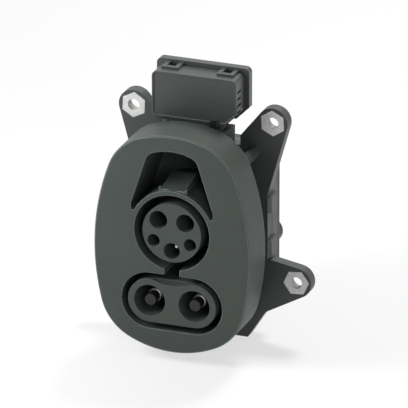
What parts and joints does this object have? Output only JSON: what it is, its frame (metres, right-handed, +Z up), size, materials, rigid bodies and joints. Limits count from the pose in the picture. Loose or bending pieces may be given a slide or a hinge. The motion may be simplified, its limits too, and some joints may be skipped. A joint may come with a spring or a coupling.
{
  "type": "vehicle charging inlet",
  "caption": "Panel-mounted inlet for combined AC and DC vehicle charging: egg-shaped shroud, pin contacts, captive-nut flange and a geared plug lock on top",
  "frame": {"origin": "where the axis of the AC contacts meets the seat plane at the back of the mounting plate", "axes": "+Z up, +Y back into the vehicle, +X to the right as seen from the plug side"},
  "size_m": [0.1276, 0.1218, 0.1589],
  "materials": {
    "housing_plastic": "fine-grained moulded glass-fibre plastic, dark greenish grey",
    "insert_plastic": "moulded plastic, dark greenish grey",
    "guard_plastic": "smooth black plastic",
    "nut_steel": "zinc-plated steel",
    "screw_steel": "zinc-plated steel",
    "spring_steel": "bright spring steel",
    "contact_silver": "silver-plated copper alloy",
    "bolt_plastic": "smooth black plastic",
    "gear_plastic": "natural white acetal",
    "pin_steel": "bright steel",
    "motor_steel": "zinc-plated steel can",
    "board_laminate": "green laminate",
    "switch_plastic": "black plastic",
    "seal_rubber": "black silicone rubber",
    "sensor_plastic": "white plastic"
  },
  "bodies": {
    "inlet": {"front_housing": "housing_plastic", "mounting_plate": "housing_plastic", "rear_housing": "housing_plastic", "rear_cover": "housing_plastic", "actuator_housing": "housing_plastic", "actuator_lid": "housing_plastic", "ac_insert": "insert_plastic", "dc_insert": "insert_plastic", "dc_contact_tips": "guard_plastic", "dc_sleeves": "guard_plastic", "mounting_nuts": "nut_steel", "housing_screws": "screw_steel", "rear_screws": "screw_steel", "cover_screws": "screw_steel", "lid_screws": "screw_steel", "spring_clip": "spring_steel", "line_contact": "contact_silver", "neutral_contact": "contact_silver", "earth_contact": "contact_silver", "pilot_contact": "contact_silver", "proximity_contact": "contact_silver", "dc_positive_contact": "contact_silver", "dc_negative_contact": "contact_silver", "gear_pin": "pin_steel", "connector_terminals": "pin_steel", "lock_motor": "motor_steel", "circuit_board": "board_laminate", "position_switch": "switch_plastic", "wire_seals": "seal_rubber", "rear_gasket": "seal_rubber", "cover_gasket": "seal_rubber", "lid_seal": "seal_rubber", "bolt_seal": "seal_rubber", "temperature_sensors": "sensor_plastic"},
    "bolt": {"lock_bolt": "bolt_plastic"},
    "wheel": {"gear_wheel": "gear_plastic"},
    "pinion": {"motor_pinion": "gear_plastic"}
  },
  "joints": [
    {"name": "bolt_slide", "type": "slide", "parent": "inlet", "child": "bolt", "axis": [0, 0, -1], "range_m": [0, 0.006]},
    {"name": "wheel_turn", "type": "hinge", "parent": "inlet", "child": "wheel", "pos_m": [-0.0013, 0, 0.0668], "axis": [0, -1, 0], "range_deg": [0, 86]},
    {"name": "motor_turn", "type": "hinge", "parent": "inlet", "child": "pinion", "pos_m": [0.0123, 0, 0.0668], "axis": [0, 1, 0], "range_deg": [0, 206.4]}
  ],
  "couplings": [
    {"joint": "wheel_turn", "follows": "bolt_slide", "rad_per_m": 250},
    {"joint": "motor_turn", "follows": "bolt_slide", "rad_per_m": 600}
  ]
}
